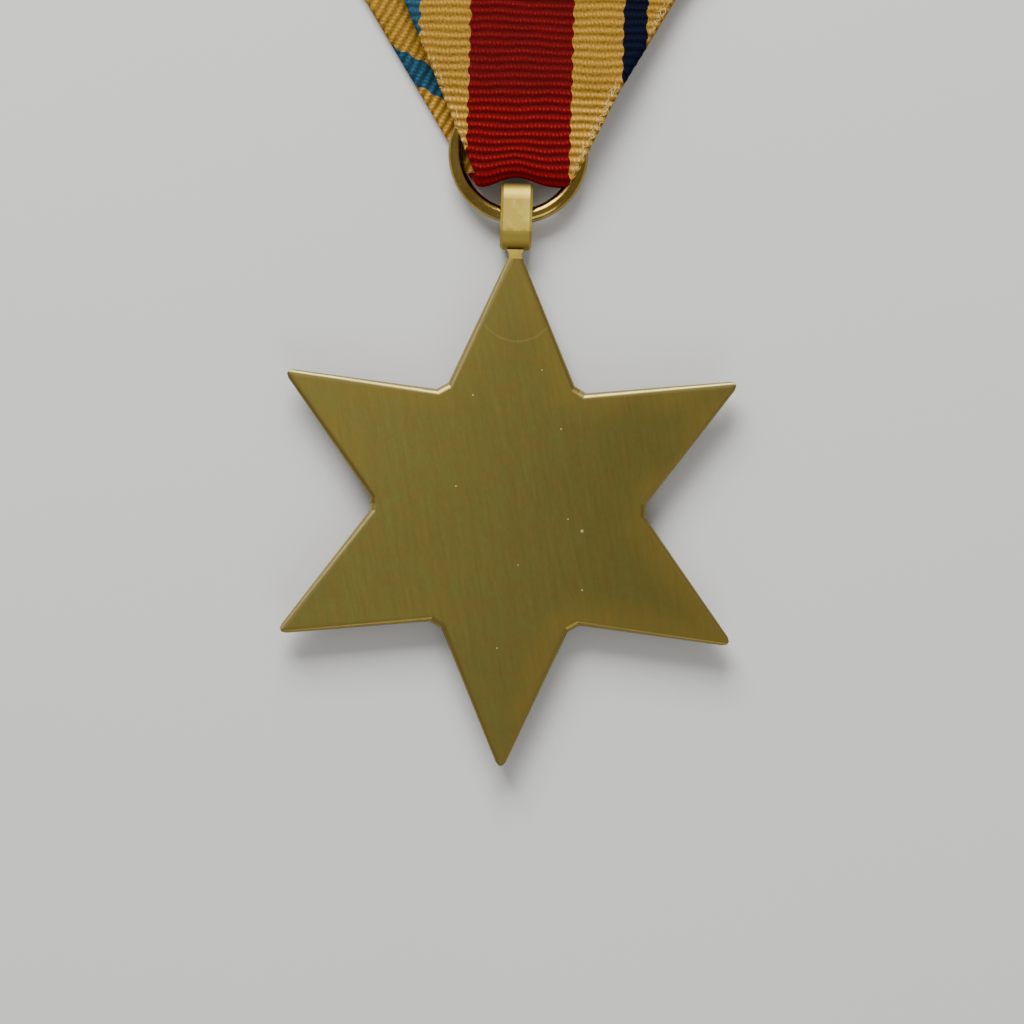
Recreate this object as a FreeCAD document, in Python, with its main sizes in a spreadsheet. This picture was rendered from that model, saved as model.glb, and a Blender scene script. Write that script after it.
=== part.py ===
import FreeCAD, Part
import Sketcher
import math
import os

# A six-pointed campaign star that hangs on a ring and a folded ribbon from a brooch bar.
# It lies on its front: +Z up out of the plain back, +Y from the star towards the brooch, +X to the right.
# The origin is below the star's centre, on the plane that the raised front rests on. Millimetres.

DIMENSIONS = {
    # star
    "tip_radius": 22.0,
    "ray_apex": 22.7,
    "ray_slope": 0.441,
    "nose_length": 0.28,
    "nose_half_width": 0.16,
    "hub_flat_radius": 11.78,
    "back_level": 3.0,
    "edge_level": 1.75,
    "facet_slope": 0.17,
    "edge_roll": 0.62,
    "nose_roll": 0.14,
    "ray_root": 6.0,
    "top_ray_cut": 21.17,
    # raised front
    "circlet_radius": 9.2,
    "circlet_rim": 0.8,
    "field_level": 0.45,
    "bead_radius": 0.34,
    "bead_circle": 7.85,
    "boss_radius": 1.3,
    "petal_start": 1.7,
    "petal_middle": 3.9,
    "petal_end": 6.6,
    "petal_half_width": 0.95,
    # collar, loop and ring
    "collar_half_width": 0.55,
    "collar_flare": 0.7,
    "collar_top": 22.3,
    "collar_thickness": 1.5,
    "hang_level": 1.65,
    "loop_start": 22.0,
    "loop_length": 5.75,
    "loop_depth": 3.0,
    "loop_width": 2.69,
    "strip_thickness": 0.6,
    "strip_bevel": 0.22,
    "ring_centre": 30.25,
    "ring_radius": 5.35,
    "wire_radius": 0.65,
    # ribbon
    "ribbon_width": 32.0,
    "cloth": 0.35,
    "pleat_cloth": 0.28,
    "layer_step": 0.3,
    "layer_gap": 0.03,
    "pleat_margin": 0.25,
    "turn_centre": 29.0,
    "turn_radius": 1.65,
    "turn_bore": 0.7,
    "turn_foot": 3.5,
    "turn_shoulder": 4.2,
    "arch_top": 1.2,
    "arch_foot": 2.3,
    "arch_rise": 0.68,
    "arch_foot_rise": 0.3,
    "crest_end": 36.6,
    "crest_top": 3.3,
    "flat_top": 1.98,
    "flex_line": 46.2,
    "flex_gap": 0.45,
    "back_pleat_end": 55.5,
    "front_pleat_end": 54.2,
    "tail_start": 57.5,
    "back_end": 65.5,
    "stitch_line": 59.4,
    "stitch_length": 1.5,
    "stitch_pitch": 2.5,
    "stitch_radius": 0.13,
    # brooch
    "rod_line": 66.9,
    "rod_level": 1.2,
    "rod_radius": 0.8,
    "wrap_bore": 0.85,
    "bar_half_width": 18.0,
    "bar_start": 70.0,
    "bar_end": 74.0,
    "bar_thickness": 2.2,
    "bar_bevel": 0.35,
    "cheek_width": 1.6,
    "cheek_start": 65.3,
    "rod_seat": 1.0,
    # pin and its fittings
    "pin_line": 72.0,
    "pin_level": 3.6,
    "hinge_place": -13.0,
    "base_half_length": 2.4,
    "base_half_width": 1.6,
    "base_thickness": 0.5,
    "ear_radius": 0.9,
    "ear_inside": 0.56,
    "ear_outside": 1.2,
    "rivet_radius": 0.4,
    "rivet_head_radius": 0.62,
    "rivet_head": 0.25,
    "eye_radius": 0.8,
    "eye_bore": 0.44,
    "eye_half_width": 0.5,
    "stub_radius": 0.45,
    "root_start": 1.05,
    "root_radius": 0.67,
    "root_end": 3.5,
    "shaft_radius": 0.5,
    "shaft_end": 22.5,
    "neck_radius": 0.33,
    "neck_end": 27.0,
    "point_end": 29.6,
    "catch_place": 12.2,
    "catch_half_length": 1.2,
    "catch_gap": 0.38,
    "catch_wall": 0.5,
    "catch_floor": 3.22,
    "catch_lip": 4.15,
    "catch_long_lip": 4.5,
}

# Fold lines of the ribbon's four pleats, from full width down to the ring: (x, y) at each end.
BACK_LEFT = ((-16.0, 56.3), (-3.55, 27.4))
BACK_RIGHT = ((16.0, 48.5), (4.25, 27.5))
FRONT_LEFT = ((-16.0, 47.3), (-3.55, 27.4))
FRONT_RIGHT = ((16.0, 55.0), (3.55, 27.4))
PLEAT_STEPS = 6

COS_30 = math.cos(math.radians(30))
SIN_30 = 0.5
TAN_30 = math.tan(math.radians(30))


class Size:
    """A length that knows its value and the sheet expression it comes from."""

    def __init__(self, value, text):
        self.value = float(value)
        self.text = text

    @staticmethod
    def of(thing):
        return thing if isinstance(thing, Size) else Size(thing, repr(float(thing)))

    def _join(self, other, sign, value):
        return Size(value, f"({self.text} {sign} {other.text})")

    def __add__(self, other):
        other = Size.of(other)
        return self._join(other, "+", self.value + other.value)

    def __sub__(self, other):
        other = Size.of(other)
        return self._join(other, "-", self.value - other.value)

    def __mul__(self, other):
        other = Size.of(other)
        return self._join(other, "*", self.value * other.value)

    def __truediv__(self, other):
        other = Size.of(other)
        return self._join(other, "/", self.value / other.value)

    def __neg__(self):
        return Size(-self.value, f"(0 - {self.text})")

    def __radd__(self, other):
        return Size.of(other) + self

    def __rsub__(self, other):
        return Size.of(other) - self

    def __rmul__(self, other):
        return Size.of(other) * self


doc = FreeCAD.newDocument("service_star")
sheet = doc.addObject("Spreadsheet::Sheet", "sizes")
for row, (alias, number) in enumerate(DIMENSIONS.items(), start=1):
    sheet.set(f"A{row}", alias.replace("_", " "))
    sheet.set(f"B{row}", str(number))
    sheet.setAlias(f"B{row}", alias)
doc.recompute()


def cell(alias):
    return Size(sheet.get(alias), f"sizes.{alias}")


# ---------------------------------------------------------------- sketching


def new_body(label, y=None, z=None, x=None):
    """A body whose frame sits at the given sizes from the origin."""
    body = doc.addObject("PartDesign::Body", label)
    body.Label = label
    for axis, size in (("x", x), ("y", y), ("z", z)):
        if size is not None:
            body.setExpression(f"Placement.Base.{axis}", Size.of(size).text)
    return body


def origin_feature(body, role):
    return next(f for f in body.Origin.OriginFeatures if f.Role == role)


def new_sketch(body, name, plane, lift=None):
    """A sketch on one of the body's planes, lifted along that plane's normal."""
    sketch = body.newObject("Sketcher::SketchObject", f"{body.Name}_{name}")
    sketch.AttachmentSupport = [(origin_feature(body, plane), "")]
    sketch.MapMode = "FlatFace"
    if lift is not None:
        sketch.setExpression("AttachmentOffset.Base.z", Size.of(lift).text)
    return sketch


def bind(sketch, kind, size, *place):
    """Adds a dimension to the sketch and ties it to the sheet."""
    size = Size.of(size)
    index = sketch.addConstraint(Sketcher.Constraint(kind, *place, size.value))
    sketch.setExpression(f"Constraints[{index}]", size.text)


def hold_x(sketch, geometry, point, size):
    if Size.of(size).value == 0:
        sketch.addConstraint(Sketcher.Constraint("PointOnObject", geometry, point, -2))
    else:
        bind(sketch, "DistanceX", size, geometry, point)


def hold_y(sketch, geometry, point, size):
    if Size.of(size).value == 0:
        sketch.addConstraint(Sketcher.Constraint("PointOnObject", geometry, point, -1))
    else:
        bind(sketch, "DistanceY", size, geometry, point)


def vector(x, y):
    return FreeCAD.Vector(Size.of(x).value, Size.of(y).value, 0)


def join(sketch, first, second):
    """Ties the end of one line or arc to the start of the next."""
    sketch.addConstraint(Sketcher.Constraint("Coincident", first, 2, second, 1))


def polygon(sketch, corners):
    """A closed outline through the corners, each held at its own two sizes."""
    lines = []
    for (x, y), (next_x, next_y) in zip(corners, corners[1:] + corners[:1]):
        segment = Part.LineSegment(vector(x, y), vector(next_x, next_y))
        lines.append(sketch.addGeometry(segment, False))
    for line, following, (x, y) in zip(lines, lines[1:] + lines[:1], corners):
        join(sketch, line, following)
        hold_x(sketch, line, 1, x)
        hold_y(sketch, line, 1, y)


def circle(sketch, x, y, radius):
    shape = Part.Circle(vector(x, y), FreeCAD.Vector(0, 0, 1), Size.of(radius).value)
    index = sketch.addGeometry(shape, False)
    hold_x(sketch, index, 3, x)
    hold_y(sketch, index, 3, y)
    bind(sketch, "Radius", radius, index)


def arc(sketch, x, y, radius, start, end):
    """An arc held at its centre and radius; its two ends are still free."""
    whole = Part.Circle(vector(x, y), FreeCAD.Vector(0, 0, 1), Size.of(radius).value)
    shape = Part.ArcOfCircle(whole, math.radians(start), math.radians(end))
    index = sketch.addGeometry(shape, False)
    hold_x(sketch, index, 3, x)
    hold_y(sketch, index, 3, y)
    bind(sketch, "Radius", radius, index)
    return index


def line(sketch, start, end):
    return sketch.addGeometry(Part.LineSegment(vector(*start), vector(*end)), False)


def stadium(sketch, start, end, middle, radius):
    """A slot outline from start to end along the first axis, with full round ends."""
    near, far = start + radius, end - radius
    first = arc(sketch, near, middle, radius, 90, 270)
    bottom = line(sketch, (near, middle - radius), (far, middle - radius))
    second = arc(sketch, far, middle, radius, -90, 90)
    top = line(sketch, (far, middle + radius), (near, middle + radius))
    loop = [first, bottom, second, top]
    for index, following in zip(loop, loop[1:] + loop[:1]):
        join(sketch, index, following)
    for index, place in ((first, near), (second, far)):
        hold_x(sketch, index, 1, place)
        hold_x(sketch, index, 2, place)


def half_tube(sketch, x, y, outer, bore, turn):
    """Half an annulus, open side up the sketch; turn 1 bulges to the left, -1 to the right."""
    angles = (90, 270) if turn > 0 else (-90, 90)
    big = arc(sketch, x, y, outer, *angles)
    small = arc(sketch, x, y, bore, *angles)
    first = line(sketch, (x, y + outer), (x, y + bore))
    second = line(sketch, (x, y - bore), (x, y - outer))
    top, low = (1, 2) if turn > 0 else (2, 1)
    for index, point, edge, end in (
        (big, top, first, 1),
        (small, top, first, 2),
        (small, low, second, 1),
        (big, low, second, 2),
    ):
        sketch.addConstraint(Sketcher.Constraint("Coincident", edge, end, index, point))
        hold_x(sketch, index, point, x)


def pad(body, sketch, length, symmetric=False):
    feature = body.newObject("PartDesign::Pad", f"{sketch.Name}_pad")
    feature.Profile = sketch
    feature.setExpression("Length", Size.of(length).text)
    feature.Midplane = symmetric
    sketch.Visibility = False
    return feature


def pocket(body, sketch, length):
    """Cuts from the sketch down its own normal."""
    feature = body.newObject("PartDesign::Pocket", f"{sketch.Name}_pocket")
    feature.Profile = sketch
    feature.setExpression("Length", Size.of(length).text)
    return feature


def around(body, features, count):
    """Repeats the features about the body's Z axis."""
    pattern = body.newObject("PartDesign::PolarPattern", f"{features[0].Name}_around")
    pattern.Originals = features
    pattern.Axis = (origin_feature(body, "Z_Axis"), [""])
    pattern.Angle = 360
    pattern.Occurrences = count
    body.Tip = pattern
    return pattern


def edges_where(body, test):
    """Names of the body's edges whose bounding box passes the test, in the body's own frame."""
    doc.recompute()
    shape = body.Tip.Shape
    return [
        f"Edge{number}"
        for number, edge in enumerate(shape.Edges, start=1)
        if test(edge.BoundBox)
    ]


def chamfer(body, names, size):
    base = body.Tip
    feature = body.newObject("PartDesign::Chamfer", f"{body.Name}_chamfer")
    feature.Base = (base, names)
    feature.setExpression("Size", Size.of(size).text)
    return feature


def fillet(body, names, radius):
    base = body.Tip
    feature = body.newObject("PartDesign::Fillet", f"{body.Name}_fillet")
    feature.Base = (base, names)
    feature.setExpression("Radius", Size.of(radius).text)
    return feature


# ---------------------------------------------------------------- star


def ray_section(body, name, distance, half_width, roll):
    """The section across the upper ray: flat back, rolled back edges, two facets meeting on a keel."""
    sketch = new_sketch(body, name, "XZ_Plane", -distance)
    top, edge = cell("back_level"), cell("edge_level")
    keel = edge - half_width * cell("facet_slope")
    inner, shoulder = half_width - roll, top - roll
    right = arc(sketch, inner, shoulder, roll, 0, 90)
    back = line(sketch, (inner, top), (-inner, top))
    left = arc(sketch, -inner, shoulder, roll, 90, 180)
    left_wall = line(sketch, (-half_width, shoulder), (-half_width, edge))
    left_facet = line(sketch, (-half_width, edge), (0, keel))
    right_facet = line(sketch, (0, keel), (half_width, edge))
    right_wall = line(sketch, (half_width, edge), (half_width, shoulder))
    outline = [right, back, left, left_wall, left_facet, right_facet, right_wall]
    for index, following in zip(outline, outline[1:] + outline[:1]):
        join(sketch, index, following)
    hold_x(sketch, right, 2, inner)
    hold_y(sketch, right, 1, shoulder)
    hold_x(sketch, left, 1, -inner)
    hold_y(sketch, left, 2, shoulder)
    hold_x(sketch, left_facet, 1, -half_width)
    hold_y(sketch, left_facet, 1, edge)
    hold_x(sketch, right_facet, 1, 0)
    hold_y(sketch, right_facet, 1, keel)
    hold_x(sketch, right_wall, 1, half_width)
    hold_y(sketch, right_wall, 1, edge)
    return sketch


def add_rays(body):
    nose = cell("tip_radius") - cell("nose_length")
    stations = [
        ("root", cell("ray_root"), cell("edge_roll")),
        ("nose", nose, cell("edge_roll") * 0.5),
    ]
    sections = [
        ray_section(body, name, far, (cell("ray_apex") - far) * cell("ray_slope"), roll)
        for name, far, roll in stations
    ]
    sections.append(
        ray_section(
            body, "tip", cell("tip_radius"), cell("nose_half_width"), cell("nose_roll")
        )
    )
    ray = body.newObject("PartDesign::AdditiveLoft", "ray")
    ray.Profile = sections[0]
    ray.Sections = sections[1:]
    ray.Ruled = True
    return around(body, [ray], 6)


def add_hub(body):
    """The six-sided core whose sides show as small flats between the rays, rolled at the back like them."""
    sketch = new_sketch(body, "hub", "XY_Plane", cell("edge_level"))
    flat = cell("hub_flat_radius")
    side, reach = flat * TAN_30, flat / COS_30
    polygon(
        sketch,
        [(flat, side), (0, reach), (-flat, side), (-flat, -side), (0, -reach), (flat, -side)],
    )
    pad(body, sketch, cell("back_level") - cell("edge_level"))
    back = cell("back_level").value
    fillet(body, edges_where(body, lambda box: box.ZMin > back - 0.01), cell("edge_roll"))


def add_front(body):
    """The raised circlet, its beads and a plain rosette round a flat boss."""
    field = cell("field_level")
    disc = new_sketch(body, "field", "XY_Plane", field)
    circle(disc, 0, 0, cell("circlet_radius"))
    pad(body, disc, cell("back_level") - field)
    rim = new_sketch(body, "rim", "XY_Plane")
    circle(rim, 0, 0, cell("circlet_radius"))
    circle(rim, 0, 0, cell("circlet_radius") - cell("circlet_rim"))
    pad(body, rim, field + 0.1)
    boss = new_sketch(body, "boss", "XY_Plane")
    circle(boss, 0, 0, cell("boss_radius"))
    pad(body, boss, field + 0.1)
    petal = new_sketch(body, "petal", "XZ_Plane", -cell("petal_middle"))
    half, low = cell("petal_half_width"), field * 0.35
    polygon(petal, [(-half, field + 0.1), (0, low), (half, field + 0.1)])
    for name, end in (("inner", cell("petal_start")), ("outer", cell("petal_end"))):
        point = new_sketch(body, f"petal_{name}", "XZ_Plane", -end)
        polygon(point, [(-half * 0.06, field + 0.1), (0, field - 0.02), (half * 0.06, field + 0.1)])
        leaf = body.newObject("PartDesign::AdditiveLoft", f"leaf_{name}")
        leaf.Profile = petal
        leaf.Sections = [point]
        leaf.Ruled = True
        around(body, [leaf], 8)
    bead = body.newObject("PartDesign::AdditiveSphere", "bead")
    bead.setExpression("Radius", cell("bead_radius").text)
    bead.AttachmentSupport = [(origin_feature(body, "XY_Plane"), "")]
    bead.MapMode = "FlatFace"
    bead.setExpression("AttachmentOffset.Base.x", cell("bead_circle").text)
    bead.setExpression("AttachmentOffset.Base.z", field.text)
    around(body, [bead], 48)


def build_star():
    body = new_body("star")
    add_hub(body)
    add_rays(body)
    add_front(body)
    cut = new_sketch(body, "tip_cut", "XY_Plane", cell("back_level") + 1)
    half, start, end = cell("collar_half_width") * 3, cell("top_ray_cut"), cell("tip_radius") + 1
    polygon(cut, [(-half, start), (half, start), (half, end), (-half, end)])
    pocket(body, cut, cell("back_level") + 2)


def build_collar():
    """A brazed collar that widens from the cut ray to the loop."""
    thick = cell("collar_thickness")
    body = new_body("tip_collar", z=cell("hang_level") - thick / 2)
    sketch = new_sketch(body, "outline", "XY_Plane")
    narrow, wide = cell("collar_half_width"), cell("collar_flare")
    start, middle, end = cell("top_ray_cut"), cell("top_ray_cut") + 0.5, cell("loop_start")
    polygon(
        sketch,
        [(-narrow, start), (narrow, start), (narrow, middle), (wide, end), (-wide, end), (-narrow, middle)],
    )
    pad(body, sketch, thick)


# ---------------------------------------------------------------- loop and ring


def build_loop():
    body = new_body("suspension_loop")
    start, level = cell("loop_start"), cell("hang_level")
    end, strip = start + cell("loop_length"), cell("strip_thickness")
    outside = new_sketch(body, "outside", "YZ_Plane")
    stadium(outside, start, end, level, cell("loop_depth") / 2)
    stadium(outside, start + strip, end - strip, level, cell("loop_depth") / 2 - strip)
    pad(body, outside, cell("loop_width"), symmetric=True)
    outer, middle = DIMENSIONS["loop_depth"] / 2, DIMENSIONS["hang_level"]

    def on_outer_rim(box):
        reaches_out = max(box.ZMax - middle, middle - box.ZMin) > outer - 0.01
        return box.XLength < 0.01 and reaches_out

    chamfer(body, edges_where(body, on_outer_rim), cell("strip_bevel"))


def build_ring():
    body = new_body("suspension_ring", y=cell("ring_centre"), z=cell("hang_level"))
    sketch = new_sketch(body, "wire", "XZ_Plane")
    circle(sketch, cell("ring_radius"), 0, cell("wire_radius"))
    feature = body.newObject("PartDesign::Revolution", "ring_turn")
    feature.Profile = sketch
    feature.ReferenceAxis = (sketch, ["V_Axis"])
    feature.Angle = 360


# ---------------------------------------------------------------- ribbon


def side_strip(points, top_offset, thickness):
    """Side-view outline of a layer: the top line lowered by the offset, then back along its underside."""
    upper = [(y, z - top_offset) for y, z in points]
    lower = [(y, z - thickness) for y, z in reversed(upper)]
    return upper + lower


def ribbon_layer(label, plan, side):
    """A layer of cloth: its side view drawn out sideways, then trimmed to its plan outline."""
    body = new_body(label)
    profile = new_sketch(body, "side", "YZ_Plane")
    polygon(profile, side)
    pad(body, profile, cell("ribbon_width") + 2, symmetric=True)
    trim_to(body, plan)


def trim_to(body, plan):
    height = cell("crest_top") + 1
    reach = cell("ribbon_width")
    trim = new_sketch(body, "plan", "XY_Plane", height)
    far, near = cell("bar_end"), cell("loop_start")
    polygon(trim, [(-reach, near), (reach, near), (reach, far), (-reach, far)])
    polygon(trim, plan)
    pocket(body, trim, height + 1)


def fold_x(fold, y):
    """Where the straight fold line lies at the given y."""
    (x0, y0), (x1, y1) = fold
    return x0 + (x1 - x0) * (y - y0) / (y1 - y0)


def outer_edge(fold):
    """The line of the ribbon's own edge once it is turned over the fold, as a point and a direction."""
    (x0, y0), (x1, y1) = fold
    length = math.hypot(x1 - x0, y1 - y0)
    across, along = (x1 - x0) / length, (y1 - y0) / length
    return (x0, y0), (-2 * along * across, 1 - 2 * along * along)


def outer_edge_x(fold, y):
    (x0, y0), (across, along) = outer_edge(fold)
    return x0 + across * (y - y0) / along


def run_edge(fold, low, high):
    """One side of a run: up its fold line, then up the ribbon's own edge."""
    wide, top = fold[0]
    foot = (fold_x(fold, low), low)
    if top < high:
        return [foot, (wide, top), (wide, high)]
    return [foot, (fold_x(fold, high), high)]


def run_plan(left, right, low, high):
    """Plan of a run between its two fold lines, and no wider than the ribbon."""
    return run_edge(left, low, high) + run_edge(right, low, high)[::-1]


def pleat_plan(fold, other, low, high):
    """Plan of a pleat: from its fold across to the turned-over edge, kept inside the opposite fold."""
    side = 1 if fold[0][0] < 0 else -1
    margin = side * DIMENSIONS["pleat_margin"]
    top = min(high, fold[0][1] - 2 * abs(margin))
    heights = [low + (top - low) * step / PLEAT_STEPS for step in range(PLEAT_STEPS + 1)]
    inner = [(fold_x(fold, y) + margin, y) for y in heights]
    nearest = min if side > 0 else max
    outer = [(nearest(outer_edge_x(fold, y), fold_x(other, y) - margin), y) for y in heights]
    return inner + outer[::-1]


def front_side(level, thickness, low, high):
    return [(low, level), (high, level), (high, level + thickness), (low, level + thickness)]


def lower_back_line(low, high):
    """Top of the back run in side view: level over the ring, then down to the flat part."""
    crest = cell("crest_top")
    return [(low, crest), (cell("crest_end"), crest), (high, cell("flat_top"))]


def build_lower_ribbon():
    low, high = cell("turn_centre"), cell("flex_line") - cell("flex_gap")
    cloth, thin = cell("cloth"), cell("pleat_cloth")
    first, step = cloth + cell("layer_gap"), cell("layer_step")
    back_line = lower_back_line(low, high)
    back = run_plan(BACK_LEFT, BACK_RIGHT, low.value, high.value)
    front = run_plan(FRONT_LEFT, FRONT_RIGHT, low.value, high.value)
    ribbon_layer("ribbon_back_lower", back, side_strip(back_line, Size.of(0), cloth))
    ribbon_layer("ribbon_front_lower", front, front_side(Size.of(0), cloth, low, high))
    back_pleats = [
        ("back_pleat_left", BACK_LEFT, BACK_RIGHT, first),
        ("back_pleat_right", BACK_RIGHT, BACK_LEFT, first + step),
    ]
    for label, fold, other, depth in back_pleats:
        plan = pleat_plan(fold, other, low.value, high.value)
        ribbon_layer(label, plan, side_strip(back_line, depth, thin))
    front_pleats = [
        ("front_pleat_left", FRONT_LEFT, FRONT_RIGHT, first + step),
        ("front_pleat_right", FRONT_RIGHT, FRONT_LEFT, first),
    ]
    for label, fold, other, level in front_pleats:
        plan = pleat_plan(fold, other, low.value, high.value)
        ribbon_layer(label, plan, front_side(level, thin, low, high))


def build_turn():
    """The bottom turn of the ribbon inside the ring, arched over the loop in the middle."""
    body = new_body("ribbon_turn")
    profile = new_sketch(body, "side", "YZ_Plane")
    top, radius = cell("turn_centre"), cell("turn_radius")
    half_tube(profile, top, cell("hang_level"), radius, cell("turn_bore"), 1)
    pad(body, profile, cell("ring_radius") * 2, symmetric=True)
    low = top - radius
    right = [
        (cell("arch_top"), low + cell("arch_rise")),
        (cell("arch_foot"), low + cell("arch_foot_rise")),
        (cell("turn_foot"), low),
        (cell("turn_shoulder"), top),
    ]
    left = [(-x, y) for x, y in reversed(right)]
    trim_to(body, left + right)


def build_upper_ribbon():
    low, high = cell("flex_line") + cell("flex_gap"), cell("rod_line")
    cloth, thin, gap = cell("cloth"), cell("pleat_cloth"), cell("layer_gap")
    front = run_plan(FRONT_LEFT, FRONT_RIGHT, low.value, high.value)
    ribbon_layer("ribbon_front_upper", front, front_side(Size.of(0), cloth, low, high))
    back, level = cell("back_end"), cell("flat_top") - cloth
    plan = run_plan(BACK_LEFT, BACK_RIGHT, low.value, back.value)
    ribbon_layer("ribbon_back_upper", plan, front_side(level, cloth, low, back))
    end = cell("back_pleat_end")
    plan = pleat_plan(BACK_LEFT, BACK_RIGHT, low.value, end.value)
    ribbon_layer("back_pleat_upper", plan, front_side(level - thin - gap, thin, low, end))
    end = cell("front_pleat_end")
    plan = pleat_plan(FRONT_RIGHT, FRONT_LEFT, low.value, end.value)
    ribbon_layer("front_pleat_upper", plan, front_side(cloth + gap, thin, low, end))
    build_wrap(cloth)
    build_tail(cloth)


def build_wrap(cloth):
    """The half turn of the ribbon round its rod."""
    wrap = new_body("ribbon_rod_wrap")
    profile = new_sketch(wrap, "side", "YZ_Plane")
    bore = cell("wrap_bore")
    half_tube(profile, cell("rod_line"), cell("rod_level"), bore + cloth, bore, -1)
    pad(wrap, profile, cell("ribbon_width"), symmetric=True)


def build_tail(cloth):
    """The sewn end of the ribbon, flat on the back run."""
    tail = new_body("ribbon_tail")
    strip = new_sketch(tail, "side", "YZ_Plane")
    level = cell("rod_level") + cell("wrap_bore")
    polygon(strip, front_side(level, cloth, cell("tail_start"), cell("rod_line")))
    pad(tail, strip, cell("ribbon_width"), symmetric=True)


def build_stitches():
    """A row of separate short stitches that lie on the tail, all in one node."""
    node = doc.addObject("Part::Feature", "tail_stitches")
    node.Label = "tail_stitches"
    radius, length = sheet.get("stitch_radius"), sheet.get("stitch_length")
    pitch, width = sheet.get("stitch_pitch"), sheet.get("ribbon_width")
    level = sheet.get("rod_level") + sheet.get("wrap_bore") + sheet.get("cloth") + radius
    count = int(width // pitch)
    first = -pitch * (count - 1) / 2
    stitches = []
    for index in range(count):
        start = first + pitch * index - length / 2
        place = FreeCAD.Vector(start, sheet.get("stitch_line"), level)
        stitches.append(Part.makeCylinder(radius, length, place, FreeCAD.Vector(1, 0, 0)))
    node.Shape = Part.makeCompound(stitches)


# ---------------------------------------------------------------- brooch


def build_bar():
    body = new_body("brooch_bar")
    half, cheek = cell("bar_half_width"), cell("cheek_width")
    start, end, low = cell("bar_start"), cell("bar_end"), cell("cheek_start")
    inner = half - cheek
    outline = new_sketch(body, "outline", "XY_Plane")
    polygon(
        outline,
        [(-half, low), (-inner, low), (-inner, start), (inner, start)]
        + [(inner, low), (half, low), (half, end), (-half, end)],
    )
    pad(body, outline, cell("bar_thickness"))
    top = DIMENSIONS["bar_end"]

    def on_top_face(box):
        return box.YMin > top - 0.01

    chamfer(body, edges_where(body, on_top_face), cell("bar_bevel"))
    seat = new_sketch(body, "rod_seats", "YZ_Plane", inner + cell("rod_seat"))
    circle(seat, cell("rod_line"), cell("rod_level"), cell("rod_radius"))
    pocket(body, seat, (inner + cell("rod_seat")) * 2)


def build_rod():
    body = new_body("ribbon_rod", y=cell("rod_line"), z=cell("rod_level"))
    sketch = new_sketch(body, "section", "YZ_Plane")
    circle(sketch, 0, 0, cell("rod_radius"))
    inner = cell("bar_half_width") - cell("cheek_width")
    pad(body, sketch, (inner + cell("rod_seat")) * 2, symmetric=True)


def slab(body, name, x, y, half_x, half_y, level, height):
    sketch = new_sketch(body, name, "XY_Plane", level)
    left, right, near, far = x - half_x, x + half_x, y - half_y, y + half_y
    polygon(sketch, [(left, near), (right, near), (right, far), (left, far)])
    return pad(body, sketch, height)


def build_hinge_block():
    """A small base plate with two rounded ears."""
    place, pin = cell("hinge_place"), cell("pin_line")
    top, thick = cell("bar_thickness"), cell("base_thickness")
    body = new_body("pin_hinge_block", x=place, y=pin)
    slab(body, "base", Size.of(0), Size.of(0), cell("base_half_length"), cell("base_half_width"), top, thick)
    level, radius = cell("pin_level"), cell("ear_radius")
    inside, outside = cell("ear_inside"), cell("ear_outside")
    for name, lift in (("near", outside), ("far", -inside)):
        ear = new_sketch(body, f"{name}_ear", "XZ_Plane", lift - (outside - inside))
        low = top + thick / 2
        rounding = arc(ear, 0, level, radius, 0, 180)
        left = line(ear, (-radius, level), (-radius, low))
        bottom = line(ear, (-radius, low), (radius, low))
        right = line(ear, (radius, low), (radius, level))
        outline = [rounding, left, bottom, right]
        for index, following in zip(outline, outline[1:] + outline[:1]):
            join(ear, index, following)
        hold_y(ear, rounding, 1, level)
        hold_y(ear, rounding, 2, level)
        hold_x(ear, bottom, 1, -radius)
        hold_y(ear, bottom, 1, low)
        hold_x(ear, bottom, 2, radius)
        hold_y(ear, bottom, 2, low)
        pad(body, ear, outside - inside)
    bore = new_sketch(body, "rivet_hole", "XZ_Plane", -outside - 1)
    circle(bore, 0, level, cell("rivet_radius"))
    feature = pocket(body, bore, outside * 2 + 2)
    feature.Reversed = True


def build_rivet():
    body = new_body("hinge_rivet", x=cell("hinge_place"), y=cell("pin_line"), z=cell("pin_level"))
    shank = new_sketch(body, "shank", "XZ_Plane")
    circle(shank, 0, 0, cell("rivet_radius"))
    pad(body, shank, cell("ear_outside") * 2, symmetric=True)
    for name, lift in (("near", cell("ear_outside")), ("far", -cell("ear_outside") - cell("rivet_head"))):
        head = new_sketch(body, f"{name}_head", "XZ_Plane", lift)
        circle(head, 0, 0, cell("rivet_head_radius"))
        pad(body, head, cell("rivet_head"))


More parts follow.
